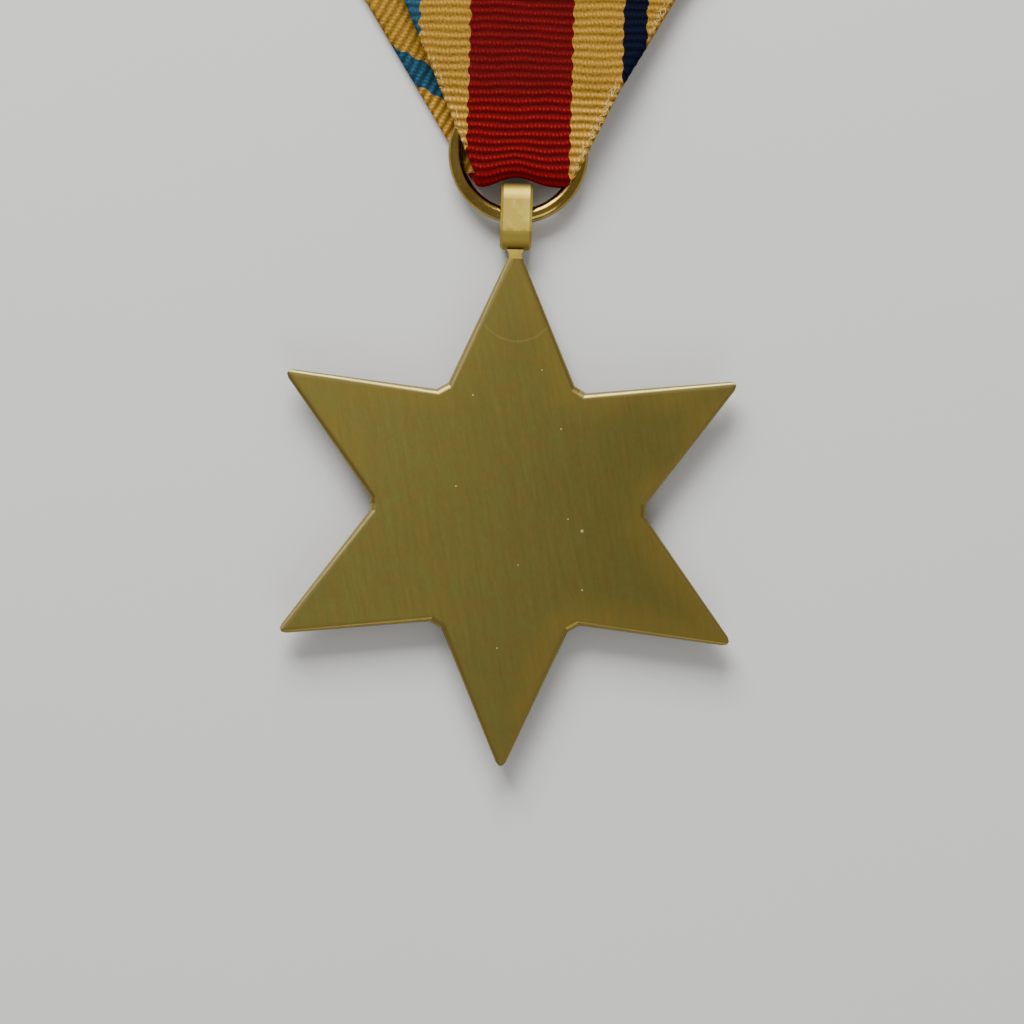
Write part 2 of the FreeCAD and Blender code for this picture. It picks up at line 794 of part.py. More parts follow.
def build_pin():
    """An eye on the rivet, a thicker collar, a straight shaft, a thinner neck and a sharp point."""
    body = new_body("brooch_pin", x=cell("hinge_place"), y=cell("pin_line"), z=cell("pin_level"))
    eye = new_sketch(body, "eye", "XZ_Plane")
    circle(eye, 0, 0, cell("eye_radius"))
    pad(body, eye, cell("eye_half_width") * 2, symmetric=True)
    stem = new_sketch(body, "stem", "XY_Plane")
    root, shaft, neck = cell("root_radius"), cell("shaft_radius"), cell("neck_radius")
    stub, collar = cell("stub_radius"), cell("root_start")
    polygon(
        stem,
        [(0.5, 0), (0.5, stub), (collar, stub), (collar + 0.05, root)]
        + [(cell("root_end") - 0.05, root), (cell("root_end"), shaft)]
        + [(cell("shaft_end"), shaft), (cell("shaft_end") + 0.05, neck), (cell("neck_end"), neck)]
        + [(cell("point_end"), 0.05), (cell("point_end"), 0)],
    )
    turn = body.newObject("PartDesign::Revolution", "pin_turn")
    turn.Profile = stem
    turn.ReferenceAxis = (stem, ["H_Axis"])
    turn.Angle = 360
    bore = new_sketch(body, "eye_bore", "XZ_Plane", cell("eye_half_width") + 1)
    circle(bore, 0, 0, cell("eye_bore"))
    pocket(body, bore, cell("eye_half_width") * 2 + 2)


def build_catch():
    """A base plate with an open hook: a floor and two lips, one of them longer."""
    place, pin = cell("catch_place"), cell("pin_line")
    top, thick = cell("bar_thickness"), cell("base_thickness")
    body = new_body("pin_catch", x=place, y=pin)
    half = cell("catch_half_length")
    slab(body, "base", Size.of(0), Size.of(0), half + 0.6, cell("base_half_width"), top, thick)
    hook = new_sketch(body, "hook", "YZ_Plane")
    gap, wall = cell("catch_gap"), cell("catch_wall")
    floor, lip, long_lip = cell("catch_floor"), cell("catch_lip"), cell("catch_long_lip")
    low, outer = top + thick / 2, gap + wall
    polygon(
        hook,
        [(-outer, low), (outer, low), (outer, long_lip), (gap + wall * 0.5, long_lip)]
        + [(gap, lip), (gap, floor), (-gap, floor), (-gap, lip), (-outer, lip)],
    )
    pad(body, hook, half * 2, symmetric=True)


build_star()
build_collar()
build_loop()
build_ring()
build_lower_ribbon()
build_turn()
build_upper_ribbon()
build_stitches()
build_bar()
build_rod()
build_hinge_block()
build_rivet()
build_pin()
build_catch()
doc.recompute()

nodes = [o for o in doc.Objects if o.TypeId == "PartDesign::Body" or o.Name == "tail_stitches"]
for item in doc.Objects:
    for state in ("Invalid", "Error"):
        if state in item.State:
            raise RuntimeError(f"{item.Name} is {state}")
for node in nodes:
    if node.Shape.isNull() or not node.Shape.isValid():
        raise RuntimeError(f"{node.Label} has no valid shape")

os.makedirs("parts", exist_ok=True)
for node in nodes:
    node.Shape.exportStep(f"parts/{node.Label}.step")
    box = node.Shape.BoundBox
    print(
        f"{node.Label}: {node.Shape.Volume:.2f} mm3, {len(node.Shape.Solids)} solid(s), "
        f"x {box.XMin:.2f}..{box.XMax:.2f}, y {box.YMin:.2f}..{box.YMax:.2f}, z {box.ZMin:.2f}..{box.ZMax:.2f}"
    )
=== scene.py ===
"""A six-pointed service star on a folded, striped ribbon and a pinned brooch bar, finished for display."""

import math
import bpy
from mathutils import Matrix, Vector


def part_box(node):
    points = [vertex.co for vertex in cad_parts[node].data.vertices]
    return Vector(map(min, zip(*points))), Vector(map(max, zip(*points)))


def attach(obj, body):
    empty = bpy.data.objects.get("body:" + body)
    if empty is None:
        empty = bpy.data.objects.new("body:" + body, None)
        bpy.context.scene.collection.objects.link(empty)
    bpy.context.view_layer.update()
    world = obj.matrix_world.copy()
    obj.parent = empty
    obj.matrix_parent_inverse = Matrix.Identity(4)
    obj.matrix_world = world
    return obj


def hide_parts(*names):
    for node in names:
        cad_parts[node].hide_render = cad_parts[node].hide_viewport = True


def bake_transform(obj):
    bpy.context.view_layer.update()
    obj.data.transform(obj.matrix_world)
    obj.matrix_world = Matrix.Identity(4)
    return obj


bl_info = {
    "name": "Service Star Medal",
    "version": (1, 0, 0),
    "blender": (4, 5, 0),
    "location": "View3D > Sidebar > Medal",
    "description": "Weaves the ribbon, sews its tail and gives the medal's metal pieces their finishes",
    "category": "Add Mesh",
}

import bpy
import numpy as np
from bpy.props import FloatProperty, FloatVectorProperty, PointerProperty
from bpy.types import Operator, Panel, PropertyGroup
from mathutils import Vector

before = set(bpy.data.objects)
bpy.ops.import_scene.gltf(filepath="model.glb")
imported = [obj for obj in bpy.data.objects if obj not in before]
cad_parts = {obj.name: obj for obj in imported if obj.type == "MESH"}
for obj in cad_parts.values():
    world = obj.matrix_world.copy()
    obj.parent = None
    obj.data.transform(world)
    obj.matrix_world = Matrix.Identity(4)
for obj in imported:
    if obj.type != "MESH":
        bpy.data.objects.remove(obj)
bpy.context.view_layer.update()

MM = 0.001

# Half the width of the flat ribbon, in millimetres.
HALF_WIDTH = 16.0

# Fold lines of the ribbon's four pleats in millimetres: (x, y) at full width and (x, y) down at the ring.
BACK_LEFT = ((-16.0, 56.3), (-3.55, 27.4))
BACK_RIGHT = ((16.0, 48.5), (4.25, 27.5))
FRONT_LEFT = ((-16.0, 47.3), (-3.55, 27.4))
FRONT_RIGHT = ((16.0, 55.0), (3.55, 27.4))

# Modelled ribbon parts that the one woven cloth stands for.
RIBBON_NODES = (
    "ribbon_back_lower",
    "ribbon_front_lower",
    "back_pleat_left",
    "back_pleat_right",
    "front_pleat_left",
    "front_pleat_right",
    "ribbon_turn",
    "ribbon_front_upper",
    "ribbon_back_upper",
    "back_pleat_upper",
    "front_pleat_upper",
    "ribbon_rod_wrap",
    "ribbon_tail",
)


# ---------------------------------------------------------------- sizes and colours


def colour(name, description, default):
    return FloatVectorProperty(
        name=name, description=description, default=default, subtype="COLOR", size=3, min=0, max=1
    )


class RibbonSettings(PropertyGroup):
    cloth: FloatProperty(
        name="Cloth",
        description="Thickness of the cloth between its ribs",
        default=0.0002,
        unit="LENGTH",
    )
    rib_pitch: FloatProperty(
        name="Rib pitch", description="Distance from rib to rib", default=0.0007, unit="LENGTH"
    )
    rib_height: FloatProperty(
        name="Rib height", description="How far a rib stands out", default=0.00005, unit="LENGTH"
    )
    warp_pitch: FloatProperty(
        name="Warp pitch", description="Distance between warp threads", default=0.00034, unit="LENGTH"
    )
    buff: colour("Buff", "Colour of the buff stripes", (0.395, 0.208, 0.024))
    red: colour("Red", "Colour of the middle stripe", (0.132, 0.0019, 0.0028))
    light_blue: colour("Light blue", "Colour of the left narrow stripe", (0.021, 0.076, 0.122))
    navy: colour("Navy", "Colour of the right narrow stripe", (0.0010, 0.0030, 0.014))
    thread: colour("Thread", "Colour of the sewing thread", (0.52, 0.38, 0.18))


class MetalSettings(PropertyGroup):
    star: colour("Star", "Brushed brass of the star", (0.192, 0.176, 0.045))
    loop: colour("Loop", "Pale brass of the loop", (0.64, 0.51, 0.115))
    ring: colour("Ring", "Polished brass of the ring", (0.31, 0.215, 0.05))
    brooch: colour("Brooch", "Satin brass of the brooch", (0.50, 0.40, 0.11))
    steel: colour("Pin", "Drawn steel of the pin", (0.56, 0.55, 0.52))
    grain_angle: FloatProperty(
        name="Grain angle",
        description="Lean of the brushed grain on the star",
        default=math.radians(-12),
        subtype="ANGLE",
    )


class StageSettings(PropertyGroup):
    floor: colour("Floor", "Colour of the floor", (0.62, 0.62, 0.61))
    key_power: FloatProperty(
        name="Key power", description="Power of the main light", default=5.2, unit="POWER"
    )
    fill_power: FloatProperty(
        name="Fill power", description="Power of the light opposite", default=0.9, unit="POWER"
    )
    view_width: FloatProperty(
        name="View width", description="Width that the camera sees", default=0.0871, unit="LENGTH"
    )
    lean: FloatProperty(
        name="Lean", description="Turn of the camera", default=math.radians(1.65), subtype="ANGLE"
    )


class MedalSettings(PropertyGroup):
    ribbon: PointerProperty(type=RibbonSettings)
    metal: PointerProperty(type=MetalSettings)
    stage: PointerProperty(type=StageSettings)


def settings():
    return bpy.context.scene.medal


# ---------------------------------------------------------------- shader maths


class Wire:
    """A number in a material; arithmetic on it adds Math nodes."""

    def __init__(self, finish, socket):
        self.finish = finish
        self.socket = socket

    def math(self, operation, *others):
        return self.finish.math(operation, self, *others)

    def __add__(self, other):
        return self.math("ADD", other)

    def __sub__(self, other):
        return self.math("SUBTRACT", other)

    def __mul__(self, other):
        return self.math("MULTIPLY", other)

    def __truediv__(self, other):
        return self.math("DIVIDE", other)

    def __neg__(self):
        return self * -1

    def __radd__(self, other):
        return self + other

    def __rmul__(self, other):
        return self * other

    def __rsub__(self, other):
        return self.finish.math("SUBTRACT", other, self)

    def __rtruediv__(self, other):
        return self.finish.math("DIVIDE", other, self)

    def below(self, limit):
        return self.math("LESS_THAN", limit)

    def sine(self):
        return self.math("SINE")

    def floor(self):
        return self.math("FLOOR")

    def size(self):
        return self.math("ABSOLUTE")

    def smooth(self, low, high, out_low=0.0, out_high=1.0):
        """Eases from one value to the other as this goes from low to high."""
        return self.finish.node(
            "ShaderNodeMapRange",
            {"interpolation_type": "SMOOTHSTEP"},
            Value=self,
            From_Min=low,
            From_Max=high,
            To_Min=out_low,
            To_Max=out_high,
        )


class Finish:
    """One material under construction."""

    def __init__(self, name):
        self.material = bpy.data.materials.new(name)
        self.material.use_nodes = True
        self.tree = self.material.node_tree
        self.tree.nodes.clear()

    def plug(self, socket, value):
        if isinstance(value, Wire):
            self.tree.links.new(value.socket, socket)
        elif isinstance(value, tuple) and len(socket.default_value) == 4:
            socket.default_value = (*value, 1.0)
        else:
            socket.default_value = value

    def raw(self, kind, options=None, **inputs):
        """Adds a node: its options first, then its sockets by name or by number."""
        node = self.tree.nodes.new(kind)
        for key, value in (options or {}).items():
            setattr(node, key, value)
        for key, value in inputs.items():
            numbered = key.startswith("at") and key[2:].isdigit()
            place = int(key[2:]) if numbered else key.replace("_", " ")
            self.plug(node.inputs[place], value)
        return node

    def node(self, kind, options=None, output=0, **inputs):
        return Wire(self, self.raw(kind, options, **inputs).outputs[output])

    def math(self, operation, *values):
        sockets = {f"at{index}": value for index, value in enumerate(values)}
        return self.node("ShaderNodeMath", {"operation": operation}, **sockets)

    def blend(self, amount, first, second, mode="MIX"):
        """Mixes two colours."""
        options = {"data_type": "RGBA", "blend_type": mode}
        return self.node("ShaderNodeMix", options, output=2, at0=amount, at6=first, at7=second)

    def shade(self, tint, factor):
        """Multiplies a colour by a number."""
        grey = self.node("ShaderNodeCombineColor", None, Red=factor, Green=factor, Blue=factor)
        return self.blend(1.0, tint, grey, mode="MULTIPLY")

    def place(self, scale, turn=(0, 0, 0), shift=(0, 0, 0)):
        """Object coordinates, turned and then scaled."""
        where = self.node("ShaderNodeTexCoord", output=3)
        if any(turn):
            where = self.node("ShaderNodeMapping", None, Vector=where, Rotation=turn)
        return self.node("ShaderNodeMapping", None, Vector=where, Scale=scale, Location=shift)

    def noise(self, where, scale=1.0, detail=3.0, roughness=0.5):
        return self.node(
            "ShaderNodeTexNoise", None, Vector=where, Scale=scale, Detail=detail, Roughness=roughness
        )

    def bump(self, height, strength, distance):
        return self.node("ShaderNodeBump", None, Height=height, Strength=strength, Distance=distance)

    def surface(self, **inputs):
        shader = self.raw("ShaderNodeBsdfPrincipled", None, **inputs)
        self.raw("ShaderNodeOutputMaterial", None, Surface=Wire(self, shader.outputs[0]))
        return self.material


def split(finish, vector):
    """The three parts of a vector."""
    node = finish.raw("ShaderNodeSeparateXYZ", None, Vector=vector)
    return [Wire(finish, socket) for socket in node.outputs]


# ---------------------------------------------------------------- finishes


# Small dents in the star's back: x, y and reach, in millimetres.
NICKS = (
    (6.35, -1.83, 0.20),
    (5.13, -0.85, 0.10),
    (6.50, -6.85, 0.12),
    (-0.59, -12.0, 0.10),
    (0.99, -4.88, 0.09),
    (4.32, 6.79, 0.11),
    (-3.25, 9.47, 0.12),
    (2.56, 11.76, 0.09),
    (-4.48, 1.68, 0.11),
)


class StarMap:
    """Places on the star's back, in millimetres."""

    # Reach of the rays' sides where they would meet, their half angle, and the flats between the rays.
    APEX, SLOPE, HUB_FLAT = 22.7, math.atan(0.441), 11.78
    SECTOR = math.radians(60)
    RUB_CENTRE, RUB_RADIUS = (0.26, 17.52), 3.35

    def __init__(self, finish):
        self.finish = finish
        self.where = finish.place((1 / MM,) * 3)
        self.x, self.y, self.z = split(finish, self.where)

    def distance(self, x, y):
        """Distance in plan from a point."""
        east, north = self.x - x, self.y - y
        return (east * east + north * north).math("SQRT")

    def from_edge(self):
        """Distance from the outline, growing inwards."""
        radius = self.distance(0, 0)
        turned = ((self.x.math("ARCTAN2", self.y) / self.SECTOR).math("FRACT") - 0.5).size()
        from_ray = (0.5 - turned) * self.SECTOR
        along, aside = radius * from_ray.math("COSINE"), radius * from_ray.sine()
        ray = (self.APEX - along) * math.sin(self.SLOPE) - aside * math.cos(self.SLOPE)
        hub = self.HUB_FLAT - radius * (turned * self.SECTOR).math("COSINE")
        return ray.math("MAXIMUM", hub)

    def facing(self):
        """How far the nearest edge of a ray looks towards the brooch and the left; it places the star's
        painted edge highlight.
        """
        turns = self.x.math("ARCTAN2", self.y) / self.SECTOR
        ray = (turns + 0.5).floor()
        normal = ray * self.SECTOR + (turns - ray).math("SIGN") * (math.pi / 2 - self.SLOPE)
        return normal.math("COSINE") * 0.8 - normal.sine() * 0.45

    def nicks(self):
        """Small bright dents."""
        total = self.distance(*NICKS[0][:2]).smooth(0.0, NICKS[0][2], 1.0, 0.0)
        for x, y, reach in NICKS[1:]:
            total = total.math("MAXIMUM", self.distance(x, y).smooth(0.0, reach, 1.0, 0.0))
        return total

    def rub_mark(self):
        """A faint arc rubbed into the top ray by the loop."""
        arc = (self.distance(*self.RUB_CENTRE) - self.RUB_RADIUS).size().smooth(0.0, 0.16, 1.0, 0.0)
        return arc * self.y.smooth(15.2, 15.9, 1.0, 0.0)


def star_brass(name, tint, grain_angle):
    """Satin brass with fine slanting scratches, small nicks and a rub mark, with painted light and shade:
    lighter to the left, darker to the right, a painted highlight on the rolled edges that face the brooch
    and the left, and painted shade on the others.
    """
    finish = Finish(name)
    plan = StarMap(finish)
    fine = finish.noise(finish.place((7000, 420, 7000), (0, 0, grain_angle)), 1.0, 3.0, 0.65)
    coarse = finish.noise(finish.place((2400, 160, 2400), (0, 0, grain_angle)), 1.0, 2.0, 0.5)
    cloud = finish.noise(finish.place((70,) * 3), 1.0, 3.0, 0.55)
    mottle = finish.noise(finish.place((650,) * 3, shift=(3, 1, 2)), 1.0, 3.0, 0.6)
    grain = finish.noise(finish.place((2900, 2300, 2900)), 1.0, 2.0, 0.7)
    streak = fine * 0.6 + coarse * 0.4
    brown = (tint[0] * 1.05, tint[1] * 0.86, tint[2] * 0.85)
    base = finish.blend(mottle.smooth(0.35, 0.65, 0.1, 0.8), tuple(tint), brown)
    # Painted light and shade across the star: the colour is scaled lighter on the left and darker on the
    # right.
    side = plan.x.smooth(-16, 16, 1.16, 0.80)
    base = finish.shade(base, side * (0.76 + streak * 0.20 + cloud * 0.12 + grain * 0.16))
    ochre = plan.from_edge().smooth(0.4, 3.6, 1.0, 0.0) * cloud.smooth(0.40, 0.62)
    base = finish.blend(ochre * 0.35, base, (0.30, 0.205, 0.035))
    # Painted edge light: rolled edges that face the brooch and the left get a pale gold painted highlight,
    # and the others a brown painted shade.
    rolled = plan.from_edge().smooth(0.30, 0.66, 1.0, 0.0)
    bright = plan.facing().smooth(0.35, 0.75)
    rim = finish.blend(bright, (0.235, 0.175, 0.044), (0.36, 0.29, 0.105))
    base = finish.blend(rolled * 0.9, base, rim)
    back = plan.z.smooth(2.7, 2.9)
    nick = plan.nicks() * back
    base = finish.blend(nick * 0.8, base, (0.90, 0.80, 0.40))
    mark = plan.rub_mark() * back
    base = finish.blend(mark * 0.18, base, (0.42, 0.35, 0.12))
    raised = plan.z.smooth(0.02, 0.16, 1.0, 0.0)
    base = finish.blend(raised * 0.6, base, (0.46, 0.37, 0.13))
    sunk = plan.z.smooth(0.34, 0.46) * plan.distance(0, 0).smooth(8.2, 8.5, 1.0, 0.0) * (1 - back)
    grit = finish.noise(finish.place((3800,) * 3), 1.0, 2.0, 0.6)
    base = finish.blend(sunk * grit.smooth(0.35, 0.65) * 0.6, base, (0.085, 0.062, 0.016))
    rough = 0.36 + streak * 0.12 + mottle * 0.06 - rolled * 0.04 - raised * 0.08 + sunk * 0.15
    height = streak * 0.7 - nick * 0.8 - mark * 0.3 + sunk * grit * 1.5
    return finish.surface(
        Base_Color=base,
        Metallic=1.0,
        Roughness=rough,
        Normal=finish.bump(height, 0.2, 0.00003),
    )


def brushed_brass(name, tint, grain_angle, roughness=0.32):
    """Satin brass with directional scratches and a light tarnish."""
    finish = Finish(name)
    fine = finish.noise(finish.place((9000, 300, 9000), (0, 0, grain_angle)), 1.0, 3.0, 0.6)
    cloud = finish.noise(finish.place((160,) * 3), 1.0, 4.0, 0.6)
    spot = finish.noise(finish.place((1500,) * 3, shift=(4, 2, 9)), 1.0, 3.0, 0.6)
    brown = (tint[0] * 0.72, tint[1] * 0.60, tint[2] * 0.5)
    base = finish.blend(cloud.smooth(0.42, 0.68, 0.7, 0.0), tuple(tint), brown)
    base = finish.shade(base, 0.72 + fine * 0.46)
    base = finish.blend(spot.smooth(0.64, 0.74, 0.0, 0.5), base, (0.14, 0.085, 0.025))
    return finish.surface(
        Base_Color=base,
        Metallic=1.0,
        Roughness=roughness + fine * 0.14 + cloud * 0.10,
        Normal=finish.bump(fine, 0.2, 0.00003),
    )


def loop_bend_shade(finish):
    """Painted shade on the bends at the two ends of the loop, the lower one with a ragged border."""
    _, y, _ = split(finish, finish.place((1 / MM,) * 3))
    ragged = finish.noise(finish.place((900,) * 3), 1.0, 3.0, 0.6)
    lower = (y + (ragged - 0.5) * 1.2).smooth(23.35, 23.65, 1.0, 0.0)
    return lower * 0.75 + y.smooth(27.0, 27.6)


def cast_brass(name, tint, roughness, wear_and_gleam=(0.80, 0.70, 0.30), painted_shade=None):
    """Plain brass with a matte skin, small pits and rubbed spots, and, where a mask is given, a darker
    olive painted shade.
    """
    finish = Finish(name)
    cloud = finish.noise(finish.place((500,) * 3), 1.0, 4.0, 0.6)
    grit = finish.noise(finish.place((5200,) * 3), 1.0, 2.0, 0.5)
    pits = finish.node("ShaderNodeTexVoronoi", None, Vector=finish.place((1700,) * 3), Scale=1.0)
    pit = pits.smooth(0.06, 0.16, 1.0, 0.0) * cloud.smooth(0.50, 0.62)
    brown = (tint[0] * 0.74, tint[1] * 0.66, tint[2] * 0.5)
    base = finish.blend(cloud.smooth(0.40, 0.68, 0.8, 0.0), tuple(tint), brown)
    base = finish.blend(grit.smooth(0.60, 0.78, 0.0, 0.30), base, wear_and_gleam)
    # The given mask paints shade: the base is mixed towards a darker olive.
    if painted_shade is not None:
        shaded_olive = (tint[0] * 0.42, tint[1] * 0.40, tint[2] * 0.40)
        base = finish.blend(painted_shade(finish), base, shaded_olive)
    base = finish.blend(pit * 0.6, base, (0.16, 0.10, 0.03))
    rough = roughness + cloud * 0.14 + pit * 0.2
    height = grit * 0.4 - pit
    return finish.surface(
        Base_Color=base,
        Metallic=1.0,
        Roughness=rough,
        Normal=finish.bump(height, 0.25, 0.00003),
    )


def drawn_steel(name, tint):
    """Bright wire with fine lines along its length."""
    finish = Finish(name)
    lines = finish.noise(finish.place((160, 7000, 7000)), 1.0, 3.0, 0.6)
    cloud = finish.noise(finish.place((300,) * 3), 1.0, 3.0, 0.5)
    base = finish.shade(tuple(tint), 0.75 + lines * 0.35 + cloud * 0.1)
    return finish.surface(
        Base_Color=base,
        Metallic=1.0,
        Roughness=0.22 + lines * 0.16,
        Normal=finish.bump(lines, 0.2, 0.00002),
    )


# Stripes on the buff ground: setting, left and right edge in millimetres, and colour of the painted
# highlight on their crests.
STRIPES = (
    ("light_blue", -10.7, -8.7, (0.05, 0.20, 0.30)),
    ("red", -4.4, 4.4, (0.50, 0.08, 0.09)),
    ("navy", 8.7, 10.7, (0.012, 0.040, 0.13)),
)
# Colour of the painted highlight on the buff ground.
BUFF_GLINT = (0.90, 0.69, 0.34)

# Unevenness of the ribs: reach in millimetres, waves across and along, and phase.
RIPPLES = ((0.07, 0.55, 0.40, 0.0), (0.035, 1.4, -0.8, 1.1), (0.014, 3.3, 1.9, 0.4))
RIB_SHAPE = 0.9

# Distances in millimetres at which the stored nearness to a fold and to the turn ends.
FOLD_REACH = 10.0
TURN_REACH = 12.0


def ribbon_weave(name, length, start):
    """Corded silk: ribs across, warp loops on each rib and stepped stripe borders, with painted shade
    between the ribs and painted highlights on the crests, near the turn and along the pale folds.
    """
    style = settings().ribbon
    finish = Finish(name)
    where = finish.raw("ShaderNodeUVMap", {"uv_map": "weave"})
    u, v, _ = split(finish, Wire(finish, where.outputs[0]))
    fold_turn_map = finish.raw("ShaderNodeUVMap", {"uv_map": "folds"})
    from_fold, from_turn, _ = split(finish, Wire(finish, fold_turn_map.outputs[0]))
    across = u * (2 * HALF_WIDTH) - HALF_WIDTH
    along = v * length + start
    rib_pitch, warp_pitch = style.rib_pitch / MM, style.warp_pitch / MM
    flat = finish.node("ShaderNodeCombineXYZ", None, X=across, Y=along)
    uneven = finish.noise(flat, 1.1, 3.0, 0.6)
    strands = finish.node("ShaderNodeCombineXYZ", None, X=across * 1.7 + along * 0.5, Y=along * 0.7)
    fibre = finish.noise(strands, 6.0, 3.0, 0.8)
    patch = finish.noise(flat, 0.4, 3.0, 0.5)
    station = along
    for reach, over, up, phase in RIPPLES:
        station = station + (across * over + along * up + phase).sine() * reach
    cord = station / rib_pitch
    row = (cord + 0.5).floor()
    rib = ((cord * (2 * math.pi)).math("COSINE") * 0.5 + 0.5).math("POWER", RIB_SHAPE)
    slant = (cord - row) * 2.6
    loops = (across * (2 * math.pi / warp_pitch) + row * math.pi + slant + uneven * 1.5).sine()
    thread = loops * 0.5 + 0.5
    edge = across + (cord * math.pi).sine() * 0.08 + (uneven - 0.5) * 0.4
    edge = edge + along.smooth(-9.0, -1.0, 0.5, 0.0) * along.smooth(-60.0, -20.0)
    tint, glint = tuple(style.buff), BUFF_GLINT
    undyed = 1.0
    for stripe, left, right, shine in STRIPES:
        inside = edge.below(right) * (1 - edge.below(left))
        tint = finish.blend(inside, tint, tuple(getattr(style, stripe)))
        glint = finish.blend(inside, glint, shine)
        undyed = undyed - inside
    depth = rib * (0.55 + thread * 0.45)
    # Nearness to the turn, for the painted highlight there.
    near = from_turn.smooth(0.55, 0.80, 1.0, 0.0)
    crest = depth.smooth(0.55, 1.0)
    # Painted shade: darker in the valleys between ribs and between warp loops, lighter on their crests;
    # the fibre and patch terms are random tone.
    tone = 0.44 + depth * 0.58 + (fibre - 0.5) * 2.1 + (patch - 0.5) * 0.3
    # Painted highlight near the turn: brighter ribs and crests over the last few millimetres before it,
    # and brighter still at the turn itself.
    tone = tone + near * (rib * 0.35 + crest * 0.35) + from_turn.smooth(0.0, 0.2, 0.55, 0.0)
    base = finish.shade(tint, tone.math("MAXIMUM", 0.16))
    # Painted highlight along the folds: a pale cream gleam on the buff crests right at each fold's edge,
    # weaker far from the turn.
    brim = from_fold.smooth(0.0, 0.05, 1.0, 0.0) * fibre.smooth(0.44, 0.60)
    brim = brim * from_turn.smooth(0.9, 1.0, 1.0, 0.45) * (0.1 + crest * 0.9) * undyed
    base = finish.blend(brim * 0.55, base, BUFF_GLINT)
    # Painted highlight: rib crests mixed towards each stripe's glint colour, more strongly near the turn.
    gleam = crest * fibre.smooth(0.46, 0.68)
    base = finish.blend(gleam * (0.12 + near * 0.18), base, glint)
    height = rib * 0.45 + depth * 0.55 + fibre * 0.25
    return finish.surface(
        Base_Color=base,
        Roughness=0.78 - gleam * 0.25,
        Specular_IOR_Level=0.06,
        Normal=finish.bump(height, 0.6, 0.00012),
    )


def sewing_thread(name, tint):
    """Two-ply cotton with a slanting twist."""
    finish = Finish(name)
    x, y, z = split(finish, finish.place((1 / MM,) * 3))
    twist = ((x * 1.0 + y * 2.2 + z * 2.2) * 22.0).sine() * 0.5 + 0.5
    fuzz = finish.noise(finish.place((9000,) * 3), 1.0, 2.0)
    base = finish.shade(tuple(tint), 0.45 + twist * 0.45 + fuzz * 0.3)
    return finish.surface(
        Base_Color=base,
        Roughness=0.85 - twist * 0.1,
        Normal=finish.bump(twist * 0.7 + fuzz * 0.3, 0.6, 0.00005),
    )


def plain_floor(name, tint):
    """Matt paper with hardly any cloud in it."""
    finish = Finish(name)
    cloud = finish.noise(finish.place((14,) * 3), 1.0, 3.0)
    base = finish.shade(tuple(tint), 0.97 + cloud * 0.05)
    return finish.surface(Base_Color=base, Roughness=0.8)


# ---------------------------------------------------------------- modelling helpers


def clear_selection():
    if bpy.context.mode != "OBJECT":
        bpy.ops.object.mode_set(mode="OBJECT")
    bpy.ops.object.select_all(action="DESELECT")


def dress(node, material):
    """Gives a CAD node its finish in every material slot."""
    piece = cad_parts[node]
    if not piece.material_slots:
        piece.data.materials.append(material)
    for place in piece.material_slots:
        place.material = material


def pick_end(mesh, side):
    """Selects the end face that looks along X to the given side."""
    bpy.ops.mesh.select_all(action="DESELECT")
    bpy.ops.object.mode_set(mode="OBJECT")
    end = max(mesh.polygons, key=lambda face: face.center.x * side)
    end.select = True
    bpy.ops.object.mode_set(mode="EDIT")


def thread_core(radius, length, sides):
    """A short straight thread along X at the origin, left in edit mode."""
    clear_selection()
    bpy.ops.mesh.primitive_cylinder_add(
        vertices=sides, radius=radius, depth=length, rotation=(0, math.pi / 2, 0)
    )
    core = bpy.context.object
    bpy.ops.object.transform_apply(location=True, rotation=True, scale=True)
    bpy.ops.object.mode_set(mode="EDIT")
    bpy.ops.mesh.select_mode(type="FACE")
    return core


def grow_end(core, side, steps):
    """Extrudes one end of a thread; each step is a move (x, y, z) and the width that follows it."""
    pick_end(core.data, side)
    for (x, y, z), width in steps:
        bpy.ops.mesh.extrude_region_move(TRANSFORM_OT_translate={"value": (x * side, y, z)})
        bpy.ops.transform.resize(value=(width, width, width))


def join_copies(first, places, name):
    """Copies a finished shape to each place (location, rotation, scale) and joins the copies."""
    copies = []
    for location, rotation, scale in places:
        twin = first.copy()
        twin.data = first.data.copy()
        bpy.context.collection.objects.link(twin)
        twin.location, twin.rotation_euler, twin.scale = location, rotation, (scale,) * 3
        copies.append(twin)
    bpy.data.objects.remove(first)
    clear_selection()
    for twin in copies:
        twin.select_set(True)
    bpy.context.view_layer.objects.active = copies[0]
    bpy.ops.object.transform_apply(location=True, rotation=True, scale=True)
    bpy.ops.object.join()
    joined = bpy.context.object
    joined.name = name
    joined.data.name = name
    bpy.ops.object.shade_smooth_by_angle(angle=math.radians(50))
    return joined


def apply_modifiers(piece):
    """Turns a piece's modifiers into mesh."""
    bpy.context.view_layer.objects.active = piece
    for modifier in list(piece.modifiers):
        bpy.ops.object.modifier_apply(modifier=modifier.name)


# ---------------------------------------------------------------- ribbon shape


